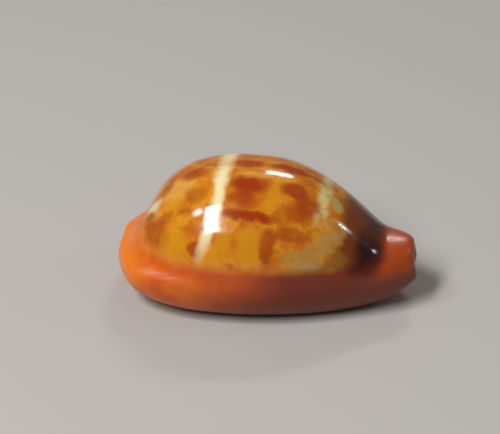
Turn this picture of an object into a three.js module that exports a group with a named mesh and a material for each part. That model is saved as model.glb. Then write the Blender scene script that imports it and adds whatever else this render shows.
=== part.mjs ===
// A pear-shaped cowrie shell, lying on its base with the aperture down. Millimetres, +Z up.
//
// The shell grew as one piece, so it is one closed mesh. Its wall is a single rolled sheet: the outer
// skin runs from the outer lip, over the back of the shell, to the inner lip, and the inner skin follows
// it round the hollow. The two skins meet along the lips, inside the slit, and round the arch of the
// canal at each end.
//
// +X is the front (anterior) end, -Y the side of the outer lip, and z = 0 the surface the shell rests on.

import * as THREE from "three";

// Driving dimensions
const LENGTH = 36;
const MARGIN_HEIGHT = 5; // level of the widest line of the shell
const DOME_HEIGHT = 11.1; // crest of the back, above that line
const OUTER_MARGIN = 10.45; // half width out to the thickened edge, on the outer lip's side
const INNER_MARGIN = 10.3; // the same on the other side
const TIP_HALF_WIDTH = 3; // half width of the blunt ends
const HOLLOW_HALF_WIDTH = 8.8;
const SHELL_THICKNESS = 1.3; // wall at the crest
const TEETH_MIDDLE = 17; // teeth between the rounded ends

// Where each outline peaks and ends along X, and the exponents that shape its two sides. On the outer
// lip's side the shoulder of the dome and its plan reach further back, and run down into the margin.
const DOME_CREST = { peak: -1.3, back: -14.9, backShape: [2.5, 0.42], front: 16.5, frontShape: [2.2, 1.2] };
const SHOULDER = { peak: -1.3, back: -17, backShape: [2.8, 0.85], front: 16.5, frontShape: [2.2, 1.2] };
const OUTER_PLAN = { peak: -2.8, back: -17.5, backShape: [3, 0.75], front: 18.3, frontShape: [1.75, 0.75] };
const INNER_PLAN = { peak: -2.8, back: -15.8, backShape: [3.2, 0.5], front: 18.3, frontShape: [1.75, 0.75] };
const MARGIN_PLAN = { peak: -2.8, back: -18.3, backShape: [3.2, 0.58], front: 18.3, frontShape: [1.45, 1.05] };
const HOLLOW_PLAN = { peak: -2.3, back: -16.3, backShape: [2.5, 0.58], front: 17.6, frontShape: [1.9, 0.85] };

// The thickened margin, which stands out past the dome as a flange at both ends
const FLANGE_BACK = 1.4;
const FLANGE_MIDDLE = 1.8;
const FLANGE_FRONT = 3.2;
const BLEND_BACK = 3; // how softly the dome runs into the flange
const BLEND_MIDDLE = 0.7;
const BLEND_FRONT = 1.5;
const DOME_FULLNESS = 2.15;
const FLANGE_FULLNESS = 2;

// The base is gently bowed lengthwise, and level where it rests
const BELLY = -0.55; // taken off at z = 0, which leaves the flat that the shell rests on
const RISE_BACK = 3;
const RISE_FRONT = 2.7;
const BASE_FULLNESS = 3;

// Beyond this distance from the middle the ends are rounded off, and curl in to the canals
const ROUND_FROM = 14.6;
const ROUND_BACK = 2.4;
const ROUND_FRONT = 3.6;
const CURL = THREE.MathUtils.degToRad(122); // how far round the lobes of each end turn in
const NOTCH = 0.5; // how far the roof of each canal stands back from the lobes beside it
const TIP_LEAN = 0.5; // how much further the outer lip's lobe stands out at the front than the inner lip's

// Lips, slit and canals
const LIP_ROLL = 1.7; // how far the lip curves in from the base to the slit
const LIP_DEPTH = 1.7; // height of the outer lip's inner edge above the base
const LIP_DEPTH_END = 1; // the same at the canals
const INNER_WALL = 2.4; // how much higher the inner lip turns up inside the shell
const CANAL_ARCH = 0.9;
const TOOTH_DEPTH = 0.42;
const TEETH_BACK = [-15.6, -12.6]; // where the teeth begin, on the outer lip and on the inner one
const TEETH_FRONT = [15.4, 14.6];
const FLOOR = 2.9; // thickness of the base inside the hollow
const CANAL_TO = 16.2; // where each canal starts to widen into the hollow
const HOLLOW_TO = 11.5; // how far towards the ends the hollow is full

// Mesh density
const STATIONS_PER_TOOTH = 4;
const STATIONS_MIDDLE = TEETH_MIDDLE * STATIONS_PER_TOOTH;
const STATIONS_END = 11; // from where an end starts to round off to its furthest point
const STATIONS_CURL = 3; // and from there in to the canal
const COLUMNS_LIP = 3;
const COLUMNS_BACK = 20;
const COLUMNS = COLUMNS_BACK + 2 * COLUMNS_LIP;
const STATIONS = STATIONS_MIDDLE + 2 * (STATIONS_END + STATIONS_CURL);
const TRIAL_POINTS = 160; // points tried round a section before its columns are spaced out
const BEND_WEIGHT = 0.7; // a full radian of bend counts as this much length when they are

const HALF_LENGTH = LENGTH / 2;
const TOOTH_PITCH = (2 * ROUND_FROM) / TEETH_MIDDLE;
const END_LENGTH = HALF_LENGTH - ROUND_FROM;
const QUARTER = Math.PI / 2;

function mix(a, b, share) {
  return a + (b - a) * share;
}

function smoothStep(from, to, value) {
  const share = THREE.MathUtils.clamp((value - from) / (to - from), 0, 1);
  return share * share * (3 - 2 * share);
}

function smoothMax(a, b, blend) {
  return (a + b + Math.hypot(a - b, blend)) / 2;
}

// Rises from 0 at the back end to 1 at the peak, and falls to 0 at the front end.
function egg(outline, x) {
  const behind = x < outline.peak;
  const end = behind ? outline.back : outline.front;
  const [first, second] = behind ? outline.backShape : outline.frontShape;
  const share = Math.min(1, (x - outline.peak) / (end - outline.peak));
  return (1 - share ** first) ** second;
}

// Distance from the centre of a superellipse to its edge, in the direction of a unit vector.
function reach(direction, halfWidth, height, fullness) {
  const across = Math.abs(direction.x) / halfWidth;
  const up = Math.abs(direction.y) / height;
  return (across ** fullness + up ** fullness) ** (-1 / fullness);
}

// The slit bows towards the outer lip, and is widest a little before the front end.
function slitCentre(x) {
  const share = x / HALF_LENGTH;
  return share < 0 ? -0.9 + 1.7 * (-share) ** 2.2 : -0.9 + 0.9 * share ** 2;
}

function slitHalfWidth(x) {
  const share = x / HALF_LENGTH;
  const widening = Math.exp(-(((share - 0.62) / 0.22) ** 2));
  return mix(0.55, 0.75, smoothStep(-1, 0.1, share)) + 0.3 * widening;
}

function baseLevel(x) {
  const share = x / HALF_LENGTH;
  const rise = share < 0 ? RISE_BACK : RISE_FRONT;
  return BELLY + (rise - BELLY) * share ** 4;
}

// Half widths and heights of the cross-section at x, before the ends are rounded off.
function sizes(x) {
  const share = x / HALF_LENGTH;
  const plan = egg(MARGIN_PLAN, x);
  return {
    outerDome: OUTER_MARGIN * (0.001 + egg(OUTER_PLAN, x)),
    innerDome: INNER_MARGIN * (0.001 + egg(INNER_PLAN, x)),
    domeHeight: 0.01 + DOME_HEIGHT * egg(DOME_CREST, x),
    shoulderHeight: 0.01 + DOME_HEIGHT * egg(SHOULDER, x),
    outerMargin: mix(TIP_HALF_WIDTH, OUTER_MARGIN, plan),
    innerMargin: mix(TIP_HALF_WIDTH, INNER_MARGIN, plan),
    flange: mix(FLANGE_MIDDLE, share < 0 ? FLANGE_BACK : FLANGE_FRONT, share * share),
    blend: mix(BLEND_MIDDLE, share < 0 ? BLEND_BACK : BLEND_FRONT, share * share),
  };
}

function halfWidth(x, side) {
  const size = sizes(x);
  if (side < 0) return smoothMax(size.outerDome, size.outerMargin, size.blend);
  return smoothMax(size.innerDome, size.innerMargin, size.blend);
}

// Height of the underside at a point of the base.
function undersideHeight(x, y) {
  const share = Math.min(1, Math.abs(y) / halfWidth(x, y));
  const depth = (1 - share ** BASE_FULLNESS) ** (1 / BASE_FULLNESS);
  return MARGIN_HEIGHT - (MARGIN_HEIGHT - baseLevel(x)) * depth;
}

// The outer skin at x, in the direction of an angle about the axis of the shell.
function outerSection(x, angle) {
  const direction = new THREE.Vector2(Math.cos(angle), Math.sin(angle));
  const size = sizes(x);
  const outer = direction.x < 0;
  let distance;
  if (direction.y < 0) {
    distance = reach(direction, halfWidth(x, direction.x), MARGIN_HEIGHT - baseLevel(x), BASE_FULLNESS);
  } else {
    const height = mix(size.domeHeight, size.shoulderHeight, smoothStep(0, 0.8, -direction.x));
    const dome = reach(direction, outer ? size.outerDome : size.innerDome, height, DOME_FULLNESS);
    const margin = outer ? size.outerMargin : size.innerMargin;
    distance = smoothMax(dome, reach(direction, margin, size.flange, FLANGE_FULLNESS), size.blend);
  }
  const point = direction.multiplyScalar(distance).add(new THREE.Vector2(0, MARGIN_HEIGHT));
  return point.setY(Math.max(0, point.y));
}

// Half widths and heights of the hollow.
function hollow(x) {
  return {
    width: Math.max(1, HOLLOW_HALF_WIDTH * egg(HOLLOW_PLAN, x)),
    top: Math.max(1, sizes(x).domeHeight - SHELL_THICKNESS),
    bottom: Math.max(0.3, MARGIN_HEIGHT - baseLevel(x) - FLOOR),
  };
}

function floorHeight(x, y) {
  const { width, bottom } = hollow(x);
  const share = Math.min(0.98, Math.abs(y) / width);
  return MARGIN_HEIGHT - bottom * (1 - share ** DOME_FULLNESS) ** (1 / DOME_FULLNESS);
}

function innerSection(x, angle) {
  const direction = new THREE.Vector2(Math.cos(angle), Math.sin(angle));
  const { width, top, bottom } = hollow(x);
  const distance = reach(direction, width, direction.y < 0 ? bottom : top, DOME_FULLNESS);
  return direction.multiplyScalar(distance).add(new THREE.Vector2(0, MARGIN_HEIGHT));
}

// 0 on the ridge of a tooth, 1 in the groove between two.
function groove(x, side) {
  const lip = side < 0 ? 0 : 1;
  const started = smoothStep(TEETH_BACK[lip], TEETH_BACK[lip] + TOOTH_PITCH, x);
  const ended = smoothStep(TEETH_FRONT[lip] - TOOTH_PITCH, TEETH_FRONT[lip], x);
  return (started - ended) * (0.5 - 0.5 * Math.cos((2 * Math.PI * (x - ROUND_FROM)) / TOOTH_PITCH));
}

// 1 along the middle of the slit, where the inner lip turns up inside the shell, and 0 at the canals.
function middle(x) {
  return smoothStep(15, 9, Math.abs(x));
}

// How far from the slit a lip starts to roll in.
function rollStart(x) {
  const size = sizes(x);
  return slitHalfWidth(x) + Math.min(LIP_ROLL, 0.42 * Math.min(size.outerMargin, size.innerMargin));
}

function lipEdgeHeight(x, side) {
  const wall = side < 0 ? 0 : INNER_WALL * middle(x);
  return baseLevel(x) + mix(LIP_DEPTH_END, LIP_DEPTH, middle(x)) + wall;
}

// The lip's rounded edge: turn runs from 0 at its inner edge to a quarter turn on the base.
function lipPoint(x, side, turn) {
  const gap = slitHalfWidth(x);
  const offset = gap + (rollStart(x) - gap) * (1 - Math.cos(turn));
  const y = slitCentre(x) + side * offset;
  const base = undersideHeight(x, y);
  const edge = lipEdgeHeight(x, side) + undersideHeight(x, slitCentre(x) + side * gap) - baseLevel(x);
  const cut = groove(x, side) * TOOTH_DEPTH * (1 - turn / QUARTER);
  return new THREE.Vector2(
    y + side * cut * Math.cos(turn),
    Math.max(base, 0) + (edge - base) * (1 - Math.sin(turn)) + cut * Math.sin(turn),
  );
}

// Inside, the outer lip curves out to the floor, and the wall of the inner lip drops down to it.
function lipBackPoint(x, side, turn) {
  const edge = lipPoint(x, side, 0);
  const spread = rollStart(x) - slitHalfWidth(x);
  const curved = edge.x + side * spread * (1 - Math.cos(turn));
  const upright = edge.x + side * 0.8 * spread * Math.sin(turn);
  const wall = side < 0 ? 0 : middle(x);
  const y = mix(curved, upright, wall);
  const floor = floorHeight(x, y);
  const curvedHeight = mix(edge.y, floor, Math.sin(turn));
  const uprightHeight = mix(floor, edge.y, Math.cos(turn));
  return new THREE.Vector2(y, mix(curvedHeight, uprightHeight, wall));
}

// The arch of a canal, which is where the two skins meet at the ends of the shell.
function archPoint(x, column) {
  const turn = (Math.PI * column) / COLUMNS;
  return new THREE.Vector2(
    slitCentre(x) - slitHalfWidth(x) * Math.cos(turn),
    lipEdgeHeight(x, -1) + CANAL_ARCH * Math.sin(turn),
  );
}

// Points round the back of the shell, from one lip to the other, closer together where the section bends.
function spacedSection(x, lip, section) {
  const first = lip(x, -1, QUARTER);
  const last = lip(x, 1, QUARTER);
  const from = 2 * Math.PI + Math.atan2(first.y - MARGIN_HEIGHT, first.x);
  const to = Math.atan2(last.y - MARGIN_HEIGHT, last.x);
  const trial = [];
  for (let i = 0; i <= TRIAL_POINTS; i++) trial.push(section(x, mix(from, to, i / TRIAL_POINTS)));
  trial[0] = first;
  trial[TRIAL_POINTS] = last;
  const travelled = [0];
  let heading = trial[1].clone().sub(trial[0]);
  for (let i = 1; i <= TRIAL_POINTS; i++) {
    const step = trial[i].clone().sub(trial[i - 1]);
    const bend = Math.abs(Math.atan2(heading.cross(step), heading.dot(step)));
    travelled.push(travelled[i - 1] + step.length() + BEND_WEIGHT * bend);
    heading = step;
  }
  const points = [];
  let at = 1;
  for (let column = 0; column <= COLUMNS_BACK; column++) {
    const wanted = (travelled[TRIAL_POINTS] * column) / COLUMNS_BACK;
    while (at < TRIAL_POINTS && travelled[at] < wanted) at++;
    const share = (wanted - travelled[at - 1]) / (travelled[at] - travelled[at - 1]);
    points.push(trial[at - 1].clone().lerp(trial[at], share));
  }
  return points;
}

// All the columns of the sheet: the outer lip first, then round the back of the shell, then the inner lip.
function sectionPoints(x, lip, section) {
  const outerLip = [];
  const innerLip = [];
  for (let i = 0; i < COLUMNS_LIP; i++) {
    const turn = (i / COLUMNS_LIP) * QUARTER;
    outerLip.push(lip(x, -1, turn));
    innerLip.unshift(lip(x, 1, turn));
  }
  return [...outerLip, ...spacedSection(x, lip, section), ...innerLip];
}

// A station along the shell: its place on the axis, and how far round the end it is.
function stationAt(index) {
  const fromMiddle = index - (STATIONS - STATIONS_MIDDLE) / 2;
  const past = Math.max(-fromMiddle, fromMiddle - STATIONS_MIDDLE);
  if (past <= 0) return { x: mix(-ROUND_FROM, ROUND_FROM, fromMiddle / STATIONS_MIDDLE), end: 0, turn: 0 };
  const end = fromMiddle < 0 ? -1 : 1;
  const curled = (past - STATIONS_END) / STATIONS_CURL;
  const turn = curled < 0 ? (past / STATIONS_END) * QUARTER : mix(QUARTER, CURL, curled);
  return { x: end * ROUND_FROM, end, turn };
}

// The points of one skin at a station. Each section closes on the arch as it turns in to the canal.
function skinRow(station, { lip, section, opening, lobed }) {
  const lobeReach = END_LENGTH * Math.sin(station.turn);
  const lipReach = END_LENGTH * Math.sin(CURL) * Math.sin((station.turn / CURL) * QUARTER);
  const sectionX = station.x + station.end * END_LENGTH * Math.sin(Math.min(station.turn, QUARTER));
  const open = opening(sectionX, station.turn);
  return sectionPoints(sectionX, lip, section).map((full, column) => {
    const level = Math.sin((Math.PI * column) / COLUMNS);
    const out = mix(lipReach, lobeReach, lobed ? smoothStep(0, 0.5, level) : 0);
    const lean = station.end > 0 ? TIP_LEAN * (0.5 - 0.5 * Math.cos((Math.PI * column) / COLUMNS)) : 0;
    const back = (NOTCH * smoothStep(0.55, 1, level) + lean) * smoothStep(0, CURL, station.turn);
    const at = archPoint(sectionX, column).lerp(full, open);
    return new THREE.Vector3(station.x + station.end * (out - back), at.x, Math.max(0, at.y));
  });
}

function outerOpening(x, turn) {
  const shut = (Math.cos(turn) - Math.cos(CURL)) / (1 - Math.cos(CURL));
  return shut ** (2 / (x < 0 ? ROUND_BACK : ROUND_FRONT));
}

function innerOpening(x) {
  return smoothStep(CANAL_TO, HOLLOW_TO, Math.abs(x));
}

function shellGeometry() {
  const positions = [];
  const indices = [];
  const skins = [
    { lip: lipPoint, section: outerSection, opening: outerOpening, lobed: true },
    { lip: lipBackPoint, section: innerSection, opening: innerOpening, lobed: false },
  ];
  // The edges of the inner skin are the edges of the outer one.
  const edgeOfSheet = (row, column) => row === 0 || row === STATIONS || column === 0 || column === COLUMNS;
  const index = skins.map(() => []);
  skins.forEach((kind, skin) => {
    for (let row = 0; row <= STATIONS; row++) {
      index[skin].push([]);
      skinRow(stationAt(row), kind).forEach((point, column) => {
        if (skin === 1 && edgeOfSheet(row, column)) {
          index[skin][row].push(index[0][row][column]);
          return;
        }
        index[skin][row].push(positions.length / 3);
        positions.push(...point.toArray());
      });
    }
  });
  const pointAt = (number) => new THREE.Vector3().fromArray(positions, 3 * number);
  index.forEach((rows, skin) => {
    for (let row = 0; row < STATIONS; row++) {
      for (let column = 0; column < COLUMNS; column++) {
        const [a, d] = rows[row].slice(column, column + 2);
        const [b, c] = rows[row + 1].slice(column, column + 2);
        const shortAcross = pointAt(a).distanceTo(pointAt(c)) < pointAt(b).distanceTo(pointAt(d));
        const faces = shortAcross ? [a, b, c, a, c, d] : [a, b, d, b, c, d];
        indices.push(...(skin === 0 ? faces : faces.reverse()));
      }
    }
  });
  return new THREE.BufferGeometry()
    .setAttribute("position", new THREE.Float32BufferAttribute(positions, 3))
    .setIndex(indices);
}

const enamel = new THREE.MeshStandardMaterial({ color: 0xcf6a1e, roughness: 0.15, metalness: 0 });

const cowrie = new THREE.Group();
const shell = new THREE.Mesh(shellGeometry(), enamel);
shell.name = "cowrie_shell";
cowrie.add(shell);

export default cowrie;
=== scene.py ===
import math

import bpy
from mathutils import Euler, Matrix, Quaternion, Vector


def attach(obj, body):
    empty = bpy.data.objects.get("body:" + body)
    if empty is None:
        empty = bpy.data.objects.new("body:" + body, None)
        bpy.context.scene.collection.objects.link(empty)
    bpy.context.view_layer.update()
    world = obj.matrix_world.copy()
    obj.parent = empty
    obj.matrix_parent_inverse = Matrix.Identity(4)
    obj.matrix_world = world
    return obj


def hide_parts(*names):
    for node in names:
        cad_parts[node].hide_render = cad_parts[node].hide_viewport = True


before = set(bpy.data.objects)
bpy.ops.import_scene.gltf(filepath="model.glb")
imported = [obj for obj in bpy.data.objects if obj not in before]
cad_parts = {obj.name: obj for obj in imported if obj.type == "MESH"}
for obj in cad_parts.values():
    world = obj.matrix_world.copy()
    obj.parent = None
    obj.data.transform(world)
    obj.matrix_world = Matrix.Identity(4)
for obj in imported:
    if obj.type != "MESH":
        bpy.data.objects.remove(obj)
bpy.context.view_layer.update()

MM = 0.001

# The shell. A pear-shaped cowrie, grown by the animal as one rolled wall of aragonite: the outer skin
# runs from the outer lip, over the back, to the inner lip, and the inner skin follows it round the
# hollow. Each skin is a flat grid, rolled to the same outlines as the CAD solid, with finer teeth.
LENGTH = 36
MARGIN_HEIGHT = 5  # level of the widest line of the shell
DOME_HEIGHT = 11.1
HOLLOW_HALF_WIDTH = 8.8
OUTER_MARGIN = 10.45  # half width out to the thickened edge, on the outer lip's side
INNER_MARGIN = 10.3
TIP_HALF_WIDTH = 3
WALL = 1.3
# Where each outline peaks and ends along X, and the exponents that shape its two sides. On the outer
# lip's side the shoulder of the dome and its plan reach further back, and run down into the margin.
DOME_CREST = dict(peak=-1.3, back=-14.9, back_shape=(2.5, 0.42), front=16.5, front_shape=(2.2, 1.2))
SHOULDER = dict(peak=-1.3, back=-17, back_shape=(2.8, 0.85), front=16.5, front_shape=(2.2, 1.2))
OUTER_PLAN = dict(peak=-2.8, back=-17.5, back_shape=(3, 0.75), front=18.3, front_shape=(1.75, 0.75))
INNER_PLAN = dict(peak=-2.8, back=-15.8, back_shape=(3.2, 0.5), front=18.3, front_shape=(1.75, 0.75))
HOLLOW_PLAN = dict(peak=-2.3, back=-16.3, back_shape=(2.5, 0.58), front=17.6, front_shape=(1.9, 0.85))
MARGIN_PLAN = dict(peak=-2.8, back=-18.3, back_shape=(3.2, 0.58), front=18.3, front_shape=(1.45, 1.05))
FLANGE_BACK, FLANGE_MIDDLE, FLANGE_FRONT = 1.4, 1.8, 3.2  # height of the thickened margin's edge
BLEND_BACK, BLEND_MIDDLE, BLEND_FRONT = 3, 0.7, 1.5  # how softly the dome runs into it
DOME_FULLNESS, FLANGE_FULLNESS, BASE_FULLNESS = 2.15, 2, 3
BELLY, RISE_BACK, RISE_FRONT = -0.55, 3, 2.7  # levels of the base, in the middle and at the ends
ROUND_FROM = 14.6  # past this, the ends round off and curl in to the canals
ROUND_BACK, ROUND_FRONT = 2.4, 3.6
TIP_LEAN = 0.5  # how much further the outer lip's side of the front end stands out than the other
CURL = math.radians(122)  # how far round the lobes of each end turn in
NOTCH = 0.5  # how far the roof of each canal stands back from the lobes beside it
LIP_ROLL = 1.7  # how far a lip curves in from the base to the slit
LIP_DEPTH, LIP_DEPTH_END = 1.7, 1  # height of a lip's inner edge above the base, and at the canals
INNER_WALL = 2.4  # how much higher the inner lip turns up inside the shell
CANAL_ARCH = 0.9
TOOTH_PITCH = 2 * ROUND_FROM / 17
TOOTH_DEPTH = 0.42
TEETH_BACK, TEETH_FRONT = (-15.6, -12.6), (15.4, 14.6)  # on the outer lip, and on the inner one
FLOOR = 2.9  # thickness of the base inside the hollow
CANAL_TO, HOLLOW_TO = 16.2, 11.5  # where each canal starts to widen, and where the hollow is full
ALONG, AROUND = 256, 130  # faces of each skin's grid
END_SHARE = 0.1  # share of the grid's length that each rounded end takes
LIP_SHARE = 0.09  # share of the grid's width that each lip takes
HALF_LENGTH = LENGTH / 2
QUARTER = math.pi / 2


def mix(a, b, share):
    return a + (b - a) * share


def smooth_step(start, end, value):
    share = min(1, max(0, (value - start) / (end - start)))
    return share * share * (3 - 2 * share)


def smooth_max(a, b, blend):
    return (a + b + math.hypot(a - b, blend)) / 2


def egg(x, peak, back, back_shape, front, front_shape):
    end, shape = (back, back_shape) if x < peak else (front, front_shape)
    share = min(1, (x - peak) / (end - peak))
    return (1 - share ** shape[0]) ** shape[1]


def reach(across, up, half_width, height, fullness):
    return ((abs(across) / half_width) ** fullness + (abs(up) / height) ** fullness) ** (-1 / fullness)


def slit_centre(x):
    share = x / HALF_LENGTH
    return -0.9 + 1.7 * (-share) ** 2.2 if share < 0 else -0.9 + 0.9 * share ** 2


def slit_half_width(x):
    share = x / HALF_LENGTH
    widening = math.exp(-(((share - 0.62) / 0.22) ** 2))
    return mix(0.55, 0.75, smooth_step(-1, 0.1, share)) + 0.3 * widening


def base_level(x):
    rise = RISE_BACK if x < 0 else RISE_FRONT
    return BELLY + (rise - BELLY) * (x / HALF_LENGTH) ** 4


class Section:
    """The shell's sizes at one place along it."""

    def __init__(self, x):
        share = x / HALF_LENGTH
        plan = egg(x, **MARGIN_PLAN)
        self.x = x
        self.dome_height = 0.01 + DOME_HEIGHT * egg(x, **DOME_CREST)
        self.shoulder_height = 0.01 + DOME_HEIGHT * egg(x, **SHOULDER)
        self.blend = mix(BLEND_MIDDLE, BLEND_BACK if share < 0 else BLEND_FRONT, share * share)
        self.margin = {
            -1: mix(TIP_HALF_WIDTH, OUTER_MARGIN, plan),
            1: mix(TIP_HALF_WIDTH, INNER_MARGIN, plan),
        }
        self.dome_width = {
            -1: OUTER_MARGIN * (0.001 + egg(x, **OUTER_PLAN)),
            1: INNER_MARGIN * (0.001 + egg(x, **INNER_PLAN)),
        }
        self.half_width = {
            side: smooth_max(self.dome_width[side], self.margin[side], self.blend) for side in (-1, 1)
        }
        self.flange = mix(FLANGE_MIDDLE, FLANGE_BACK if share < 0 else FLANGE_FRONT, share * share)
        self.level = base_level(x)
        self.slit = slit_centre(x)
        self.gap = slit_half_width(x)
        self.roll = min(LIP_ROLL, 0.42 * min(self.margin.values()))
        self.hollow_width = max(1, HOLLOW_HALF_WIDTH * egg(x, **HOLLOW_PLAN))
        self.hollow_top = max(1, self.dome_height - WALL)
        self.hollow_bottom = max(0.3, MARGIN_HEIGHT - self.level - FLOOR)
        self.wall = smooth_step(15, 9, abs(x))
        self.lip_depth = mix(LIP_DEPTH_END, LIP_DEPTH, self.wall)

    def underside(self, y):
        share = min(1, abs(y) / self.half_width[-1 if y < 0 else 1])
        bowl = (1 - share ** BASE_FULLNESS) ** (1 / BASE_FULLNESS)
        return MARGIN_HEIGHT - (MARGIN_HEIGHT - self.level) * bowl

    def floor(self, y):
        share = min(0.98, abs(y) / self.hollow_width)
        bowl = (1 - share ** DOME_FULLNESS) ** (1 / DOME_FULLNESS)
        return MARGIN_HEIGHT - self.hollow_bottom * bowl

    def groove(self, side):
        """0 on the ridge of a tooth, 1 in the groove between two."""
        lip = 0 if side < 0 else 1
        started = smooth_step(TEETH_BACK[lip], TEETH_BACK[lip] + TOOTH_PITCH, self.x)
        ended = smooth_step(TEETH_FRONT[lip] - TOOTH_PITCH, TEETH_FRONT[lip], self.x)
        wave = math.cos(2 * math.pi * (self.x - ROUND_FROM) / TOOTH_PITCH)
        return (started - ended) * (0.5 - 0.5 * wave)

    def outer_lip_edge(self, side, turn):
        """A point of a lip's outer skin: turn is 0 at its inner edge and a quarter turn on the base."""
        y = self.slit + side * (self.gap + self.roll * (1 - math.cos(turn)))
        base = self.underside(y)
        wall = INNER_WALL * self.wall if side > 0 else 0
        edge = self.lip_depth + wall + self.underside(self.slit + side * self.gap)
        cut = self.groove(side) * TOOTH_DEPTH * (1 - turn / QUARTER)
        return (
            y + side * cut * math.cos(turn),
            max(base, 0) + (edge - base) * (1 - math.sin(turn)) + cut * math.sin(turn),
        )

    def inner_lip_edge(self, side, turn):
        y0, z0 = self.outer_lip_edge(side, 0)
        wall = self.wall if side > 0 else 0
        curved = y0 + side * self.roll * (1 - math.cos(turn))
        upright = y0 + side * 0.8 * self.roll * math.sin(turn)
        y = mix(curved, upright, wall)
        floor = self.floor(y)
        return y, mix(mix(z0, floor, math.sin(turn)), mix(floor, z0, math.cos(turn)), wall)

    def outer_back(self, angle):
        across, up = math.cos(angle), math.sin(angle)
        side = -1 if across < 0 else 1
        if up < 0:
            far = reach(across, up, self.half_width[side], MARGIN_HEIGHT - self.level, BASE_FULLNESS)
        else:
            height = mix(self.dome_height, self.shoulder_height, smooth_step(0, 0.8, -across))
            dome = reach(across, up, self.dome_width[side], height, DOME_FULLNESS)
            flange = reach(across, up, self.margin[side], self.flange, FLANGE_FULLNESS)
            far = smooth_max(dome, flange, self.blend)
        return far * across, max(0, MARGIN_HEIGHT + far * up)

    def inner_back(self, angle):
        across, up = math.cos(angle), math.sin(angle)
        height = self.hollow_bottom if up < 0 else self.hollow_top
        far = reach(across, up, self.hollow_width, height, DOME_FULLNESS)
        return far * across, MARGIN_HEIGHT + far * up

    def arch(self, around):
        """The arch of a canal, where the two skins meet at the ends."""
        turn = math.pi * around
        return (
            self.slit - self.gap * math.cos(turn),
            self.level + self.lip_depth + CANAL_ARCH * math.sin(turn),
        )

    def point(self, around, inside):
        lip_edge = self.inner_lip_edge if inside else self.outer_lip_edge
        back = self.inner_back if inside else self.outer_back
        if around <= LIP_SHARE:
            return lip_edge(-1, around / LIP_SHARE * QUARTER)
        if around >= 1 - LIP_SHARE:
            return lip_edge(1, (1 - around) / LIP_SHARE * QUARTER)
        first, last = lip_edge(-1, QUARTER), lip_edge(1, QUARTER)
        start = 2 * math.pi + math.atan2(first[1] - MARGIN_HEIGHT, first[0])
        end = math.atan2(last[1] - MARGIN_HEIGHT, last[0])
        return back(mix(start, end, (around - LIP_SHARE) / (1 - 2 * LIP_SHARE)))


def roll_skin(grid, inside):
    """Rolls a flat grid, 1 m square about the origin, into one skin of the shell.

    Its attribute "depth" is 0 on the outer skin and at the lips, and runs up to 1 in the hollow.
    """
    sections = {}
    depths = grid.data.attributes.new("depth", "FLOAT", "POINT").data
    for vertex in grid.data.vertices:
        along, around = vertex.co.x + 0.5, vertex.co.y + 0.5
        from_edge = min(along, 1 - along, around, 1 - around)
        depths[vertex.index].value = smooth_step(0.02, 0.12, from_edge) if inside else 0
        within = inside and from_edge > 0.5 / ALONG
        past = max(0, END_SHARE - along, along - (1 - END_SHARE)) / END_SHARE
        end = 0 if past == 0 else (-1 if along < 0.5 else 1)
        turn = past * CURL
        straight = (along - END_SHARE) / (1 - 2 * END_SHARE)
        start = end * ROUND_FROM if end else mix(-ROUND_FROM, ROUND_FROM, straight)
        length = HALF_LENGTH - ROUND_FROM
        x = start + end * length * math.sin(min(turn, QUARTER))
        key = round(along * ALONG)
        if key not in sections:
            sections[key] = Section(x)
        section = sections[key]
        if within:
            opening = smooth_step(CANAL_TO, HOLLOW_TO, abs(x))
        else:
            shut = max(0, (math.cos(turn) - math.cos(CURL)) / (1 - math.cos(CURL)))
            opening = shut ** (2 / (ROUND_BACK if end < 0 else ROUND_FRONT))
        arch_y, arch_z = section.arch(around)
        full_y, full_z = section.point(around, within)
        level = math.sin(math.pi * around)
        lobed = 0 if within else smooth_step(0, 0.5, level)
        out = length * mix(math.sin(CURL) * math.sin(past * QUARTER), math.sin(turn), lobed)
        back = NOTCH * smooth_step(0.55, 1, level) * smooth_step(0, 1, past)
        if end > 0:
            back += TIP_LEAN * (0.5 - 0.5 * math.cos(math.pi * around)) * smooth_step(0, 1, past)
        y = mix(arch_y, full_y, opening)
        z = max(0, mix(arch_z, full_z, opening))
        vertex.co = Vector((start + end * (out - back), y, z)) * MM


bpy.ops.object.select_all(action="DESELECT")
skins = []
for inside in (False, True):
    bpy.ops.mesh.primitive_grid_add(x_subdivisions=ALONG, y_subdivisions=AROUND, size=1)
    skin = bpy.context.object
    roll_skin(skin, inside)
    if inside:
        bpy.ops.object.mode_set(mode="EDIT")
        bpy.ops.mesh.select_all(action="SELECT")
        bpy.ops.mesh.flip_normals()
        bpy.ops.object.mode_set(mode="OBJECT")
    skins.append(skin)
skins[0].select_set(True)
bpy.context.view_layer.objects.active = skins[0]
bpy.ops.object.join()
shell = bpy.context.object
shell.name = "shell"
bpy.ops.object.mode_set(mode="EDIT")
bpy.ops.mesh.select_all(action="SELECT")
bpy.ops.mesh.remove_doubles(threshold=0.0005 * MM)
bpy.ops.object.mode_set(mode="OBJECT")
bpy.ops.object.shade_smooth()


def srgb(code):
    """A hex colour as the linear values that Blender's sockets take."""
    parts = [int(code[i:i + 2], 16) / 255 for i in (1, 3, 5)]
    return [p / 12.92 if p <= 0.04045 else ((p + 0.055) / 1.055) ** 2.4 for p in parts] + [1]


# Cowrie enamel: thin layers of aragonite that the animal's mantle lays over the shell and keeps
# polished, as glossy as glazed porcelain. Its markings lie under the clear top layers, so their edges
# are soft, and the thick callus on the margins and the base hides them under plain orange.
DEGREES_PER_MM = 5.5  # round the shell's axis, at its surface
enamel = bpy.data.materials.new("Cowrie enamel")
enamel.use_nodes = True
tree = enamel.node_tree
shader = tree.nodes["Principled BSDF"]


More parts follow.
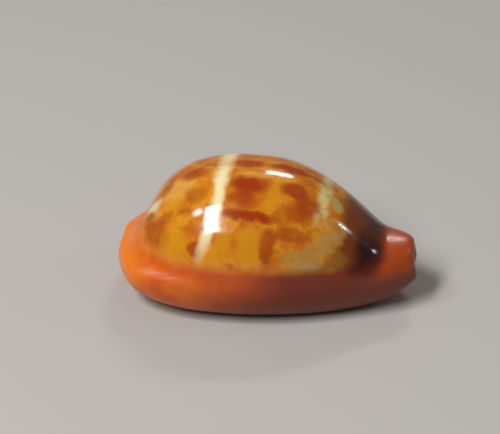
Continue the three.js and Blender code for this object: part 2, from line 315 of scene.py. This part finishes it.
def node(kind, links, **settings):
    """Adds a node and gives its outputs. Links give its inputs a value, or join them to an output."""
    added = tree.nodes.new("ShaderNode" + kind)
    for name, value in settings.items():
        setattr(added, name, value)
    for socket, source in links.items():
        if isinstance(source, bpy.types.NodeSocket):
            tree.links.new(source, added.inputs[socket])
        else:
            added.inputs[socket].default_value = source
    return added.outputs


def work_out(operation, *values):
    return node("Math", dict(enumerate(values)), operation=operation)[0]


# Every marking has a place in millimetres along the shell, and round it from the crest. Round it,
# positive is towards the outer lip, 90 degrees is the margin and 180 the middle of the base.
place = node("TexCoord", {})["Object"]
in_mm = node("VectorMath", {0: place, "Scale": 1 / MM}, operation="SCALE")[0]
parts = node("SeparateXYZ", {0: in_mm})
along_mm = parts["X"]
turned = work_out("ARCTAN2", work_out("SUBTRACT", parts["Z"], MARGIN_HEIGHT), parts["Y"])
turned = work_out("SUBTRACT", work_out("DEGREES", turned), 90)
turned = work_out("WRAP", turned, 180, -180)
marking_place = node("CombineXYZ", {0: along_mm, 1: work_out("DIVIDE", turned, DEGREES_PER_MM)})[0]


def clouds(grain_mm, detail=2.0, seed=0):
    """Soft noise whose grains are about this many millimetres across."""
    moved = node("VectorMath", {0: in_mm, 1: (7.3 * seed, 3.1 * seed, 5.7 * seed)})[0]
    return node("TexNoise", {"Vector": moved, "Scale": 1 / grain_mm, "Detail": detail, "Roughness": 0.6})


def stray(vector, grain_mm, reach_mm, seed):
    """Moves a place about, so that the edge of a marking laid there wanders."""
    noise = clouds(grain_mm, 1.0, seed)["Color"]
    wander = node("VectorMath", {0: noise, 1: (0.5, 0.5, 0.5)}, operation="SUBTRACT")[0]
    links = {0: wander, 1: (2 * reach_mm,) * 3, 2: vector}
    return node("VectorMath", links, operation="MULTIPLY_ADD")[0]


def fade(value, start, end, low=0.0, high=1.0):
    """Runs softly from low to high as a value goes from start to end."""
    links = {"Value": value, "From Min": start, "From Max": end, "To Min": low, "To Max": high}
    return node("MapRange", links, interpolation_type="SMOOTHSTEP")[0]


def lay(below, colour, amount):
    """Lays a colour over another. Each is a socket or a hex code."""
    below, colour = (srgb(c) if isinstance(c, str) else c for c in (below, colour))
    return node("Mix", {0: amount, 6: below, 7: colour}, data_type="RGBA")[2]


wandering = stray(stray(marking_place, 2.6, 0.8, 1), 0.8, 0.2, 2)
SOFT_EDGE = 0.6  # share of a mark's half size over which it fades out
FLAT = 1000  # stretches a mark so far in Z that the place's wandering there doesn't touch it


def mark(x, turn, length, width, strength):
    """A soft mark, from its middle in mm and degrees, and its half sizes in mm and degrees."""
    links = {
        "Vector": wandering,
        "Location": (x, turn / DEGREES_PER_MM, 0),
        "Scale": (length, width / DEGREES_PER_MM, FLAT),
    }
    centred = node("Mapping", links, vector_type="TEXTURE")[0]
    ball = node("TexGradient", {"Vector": centred}, gradient_type="SPHERICAL")[0]
    return fade(ball, 0, SOFT_EDGE, 0, strength)


def lay_marks(below, colour, *marks):
    for each in marks:
        below = lay(below, colour, mark(*each))
    return below


# The back is golden, clouded with a yellower and a redder brown.
back = lay("#b86404", "#cc8412", fade(clouds(3.0, 3.0, 3)["Fac"], 0.4, 0.62))
back = lay(back, "#a04602", fade(clouds(1.7, 3.0, 4)["Fac"], 0.5, 0.72, 0, 0.65))

# Chestnut blotches run together in rows across the back, between lighter patches of gold and tan.
# Those on the outer lip's side are laid one by one, and those on the far side are clouds.
far_side = fade(turned, -8, -24)
blotches = fade(clouds(3.4, 3.0, 5)["Fac"], 0.48, 0.62, 0, 0.8)
back = lay(back, "#8a3202", work_out("MULTIPLY", blotches, far_side))
back = lay_marks(
    back, "#c4820c", (-0.8, 60, 2.0, 16, 0.9), (1.2, 27, 1.2, 14, 0.8), (-9.7, 64, 2.4, 17, 0.9),
    (-10.6, 31, 2.0, 14, 0.7), (-3.9, 60, 1.2, 17, 0.7), (-6.3, 75, 1.7, 9, 0.9), (4.2, 74, 2.2, 7, 0.5),
)
back = lay_marks(
    back, "#d09a40", (-10.2, 21, 3.0, 14, 0.7), (-0.4, 12, 3.6, 5, 0.5), (-12.6, 40, 1.4, 10, 0.5),
)
back = lay_marks(
    back, "#933000", (-2.0, 21, 3.4, 10, 1.0), (-2.4, 32, 2.4, 9, 0.8), (-1.2, 42, 4.4, 5.5, 1.0),
    (3.5, 19, 2.2, 9, 0.9), (5.1, 29, 2.1, 12, 0.75), (4.2, 37, 2.8, 8, 0.55), (3.8, 51, 3.4, 6, 0.6),
    (1.1, 60, 1.2, 18, 0.7), (-8.4, 9, 2.4, 9, 0.7), (-7.8, 29, 1.8, 9, 0.55), (-11.2, 44, 1.4, 8, 0.5),
    (-12.4, 57, 2.2, 20, 0.65), (-7.3, 65, 1.2, 6, 0.8), (-12.0, 16, 1.4, 9, 0.5),
    (-2.2, 0, 3.2, 6, 0.8), (2.8, -2, 3.4, 6, 0.95), (6.6, -3, 2.2, 6, 0.9),
)

# The slope down to the front end is a dark brown, partly its own colour and partly painted shade, and
# painted shade makes it nearly black low on the outer lip's side.
bent = node("SeparateXYZ", {0: stray(marking_place, 2.0, 0.5, 6)})["X"]
back = lay(back, "#642a04", fade(bent, 8.0, 10.0, 0, 0.92))
back = lay(back, "#3c1002", fade(bent, 10.4, 12.6, 0, 0.8))
# Painted shade: nearly black low on the outer lip's side of the front slope.
back = lay(back, "#260300", work_out("MULTIPLY", fade(bent, 10.0, 12.0), fade(turned, 24, 52)))

# Streaks of olive and straw, veined with the ground's colour, curve down the slope to the margin.
veined = fade(clouds(1.3, 1.0, 12)["Fac"], 0.68, 0.38, 0.4)
streaks = lay_marks(
    back, "#8a5812", (8.7, 68, 1.7, 12, 0.85), (7.0, 76, 2.4, 11, 0.85), (-13.6, 40, 1.0, 7, 0.8),
)
streaks = lay_marks(
    streaks, "#aa8644", (8.7, 41, 1.3, 11, 0.75), (8.0, 52, 1.7, 9, 0.85), (6.9, 60, 2.0, 8, 0.9),
    (5.2, 69, 2.6, 12, 0.9),
)
back = lay(back, streaks, veined)

# A pale spot covers the spire, at the back end.
back = lay_marks(back, "#d2bf9e", (-13.1, 29, 1.4, 9, 0.9))

# Two cream bands cross the back from lip to lip. The front one is broken up, and forks.
away_from_crest = work_out("ABSOLUTE", work_out("ADD", turned, 8))
back_band = fade(away_from_crest, 40, 95, -5.1, -7.0)
back_half_width = fade(away_from_crest, 12, 34, 1.2, 0.8)
for colour, middle, half_width, reach_to, broken in (
    ("#e6d7a4", back_band, back_half_width, 88, 0.0),
    ("#cabd7c", 6.85, 0.95, 58, 0.6),
):
    off = work_out("ABSOLUTE", work_out("SUBTRACT", bent, middle))
    amount = fade(work_out("DIVIDE", off, half_width), 1.2, 0.2)
    amount = work_out("MULTIPLY", amount, fade(away_from_crest, reach_to, reach_to - 26))
    amount = work_out("MULTIPLY", amount, fade(work_out("ABSOLUTE", turned), 0, 10, 0.6))
    holes = fade(clouds(1.6, 1.0, 7)["Fac"], 0.36, 0.62, 1 - broken, 1)
    back = lay(back, colour, work_out("MULTIPLY", amount, work_out("MULTIPLY", holes, 0.93)))
back = lay_marks(back, "#aa9a50", (7.9, 10, 1.4, 5, 0.75), (8.6, 18, 0.9, 10, 0.8))

# Callus: orange over the margins, the ends and the base, with painted light making it lightest on the
# back lobes.
# Over the margin of the outer lip, painted shade makes it deeper, and burnt brown from the middle to the
# foot of the dark slope.
callus_and_shading = lay("#d06404", "#be4c02", fade(clouds(5, 2.0, 8)["Fac"], 0.4, 0.62))
# Painted light lightens the back end, and painted shade deepens the margin from the middle to the front.
callus_and_shading = lay(callus_and_shading, "#e27e14", fade(along_mm, -13.2, -16.6, 0, 0.75))
callus_and_shading = lay(callus_and_shading, "#a83a02", fade(along_mm, -11, 1, 0, 0.9))
callus_and_shading = lay(callus_and_shading, "#983c08", fade(along_mm, 9, 14, 0, 0.75))
# Painted shade: dark maroon low on the outer lip's margin, deepening towards the front.
low = work_out("MULTIPLY", fade(turned, 76, 104), fade(turned, 142, 118))
low = work_out("MULTIPLY", low, fade(along_mm, -12, 3, 0, 0.8))
callus_and_shading = lay(callus_and_shading, "#5e1c00", low)
# Painted shade: dark on the margin towards the front, and nearly black at the front end on the outer
# lip's side.
callus_and_shading = lay_marks(callus_and_shading, "#641c00", (7.0, 86, 8.5, 30, 0.85))
callus_and_shading = lay_marks(callus_and_shading, "#3a0600", (11.9, 60, 3.5, 34, 0.93))
edge_x = node("SeparateXYZ", {0: stray(in_mm, 2.2, 0.45, 9)})["X"]
lengthwise = work_out("ABSOLUTE", work_out("DIVIDE", work_out("ADD", edge_x, 0.3), 14.6))
sideways = work_out("ABSOLUTE", work_out("DIVIDE", turned, 78))
beyond = work_out("ADD", work_out("POWER", lengthwise, 6), work_out("POWER", sideways, 6))
covered = fade(beyond, 0.55, 1.3)
skin = lay(back, callus_and_shading, covered)

# The lips and their teeth are a paler apricot, and the hollow, which no mantle polishes, is off-white.
share = work_out("DIVIDE", along_mm, HALF_LENGTH)
slit_middle = work_out("MULTIPLY_ADD", work_out("MULTIPLY", share, share), 1.1, -0.9)
from_slit = work_out("ABSOLUTE", work_out("SUBTRACT", parts["Y"], slit_middle))
lips = work_out("MULTIPLY", fade(from_slit, 3.0, 0.9), fade(parts["Z"], 3.4, 2.2, 0, 0.75))
skin = lay(skin, "#eb9a4e", lips)
skin = lay(skin, "#e6dacb", node("Attribute", {}, attribute_name="depth")["Fac"])
tree.links.new(skin, shader.inputs["Base Color"])

# Aragonite's index of refraction. The callus is less polished than the back.
shader.inputs["IOR"].default_value = 1.53
gloss = fade(clouds(1.1, 3.0, 10)["Fac"], 0.3, 0.7, 0.08, 0.16)
tree.links.new(work_out("MULTIPLY_ADD", covered, 0.2, gloss), shader.inputs["Roughness"])
# The polish isn't optically flat: swells about 2 mm across break up the edges of a reflection.
swell = node("Bump", {"Strength": 0.35, "Distance": 0.02 * MM, "Height": clouds(2.0, 2.0, 11)["Fac"]})[0]
tree.links.new(swell, shader.inputs["Normal"])
shell.data.materials.append(enamel)
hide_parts("cowrie_shell")
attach(shell, "root")

# The floor that the shell stands on: matt grey studio paper.
bpy.ops.object.select_all(action="DESELECT")
bpy.ops.mesh.primitive_plane_add(size=2, location=(0, 0, 0))
floor = bpy.context.object
floor.name = "floor"
paper = bpy.data.materials.new("Pale paper")
paper.use_nodes = True
paper.node_tree.nodes["Principled BSDF"].inputs["Base Color"].default_value = srgb("#aeaaa5")
paper.node_tree.nodes["Principled BSDF"].inputs["Roughness"].default_value = 0.9
floor.data.materials.append(paper)

# The camera looks down at the outer lip's side, from a little to the front.
CAMERA_AZIMUTH, CAMERA_ELEVATION = math.radians(9), math.radians(28)
FRAME_WIDTH, SENSOR = 500, 36
FOCAL_PIXELS = 1833.7  # focal length in pixels of a picture this wide
CAMERA_MM = (27.96, -190.84, 111.75)
camera_data = bpy.data.cameras.new("camera")
camera_data.lens = FOCAL_PIXELS / FRAME_WIDTH * SENSOR
camera_data.sensor_width = SENSOR
camera_data.clip_start = 0.01
camera = bpy.data.objects.new("camera", camera_data)
camera.location = Vector(CAMERA_MM) * MM
camera.rotation_euler = Euler((math.pi / 2 - CAMERA_ELEVATION, 0, CAMERA_AZIMUTH))
bpy.context.scene.collection.objects.link(camera)
bpy.context.scene.camera = camera


def soft_light(name, azimuth, elevation, distance, width, height, power, roll=0):
    """A soft box, aimed at the shell from an azimuth and elevation in degrees."""
    data = bpy.data.lights.new(name, "AREA")
    data.shape = "RECTANGLE"
    data.size, data.size_y = width, height
    data.energy = power
    light = bpy.data.objects.new(name, data)
    a, e = math.radians(azimuth), math.radians(elevation)
    away = Vector((math.sin(a) * math.cos(e), -math.cos(a) * math.cos(e), math.sin(e)))
    light.location = away * distance + Vector((0, 0, 8 * MM))
    aim = away.to_track_quat("Z", "Y") @ Quaternion((0, 0, 1), math.radians(roll))
    light.rotation_euler = aim.to_euler()
    bpy.context.scene.collection.objects.link(light)


# Four soft boxes, each where its reflection falls on its own place on the gloss, and a dim surround.
soft_light("key softbox", -34, 50, 0.5, 0.085, 0.34, 2.45, 34)
soft_light("left softbox", -62, 51, 0.6, 0.08, 0.08, 0.5)
soft_light("back softbox", 174, 42, 0.6, 0.15, 0.05, 0.68, 20)
soft_light("right softbox", 106, 34, 0.6, 0.035, 0.035, 0.12)
world = bpy.data.worlds.new("studio")
bpy.context.scene.world = world
world.use_nodes = True
world.node_tree.nodes["Background"].inputs["Color"].default_value = srgb("#ffffff")
world.node_tree.nodes["Background"].inputs["Strength"].default_value = 0.17
# Shows the colours as they are, without the greying of strong ones that the usual transform adds.
bpy.context.scene.view_settings.view_transform = "Standard"
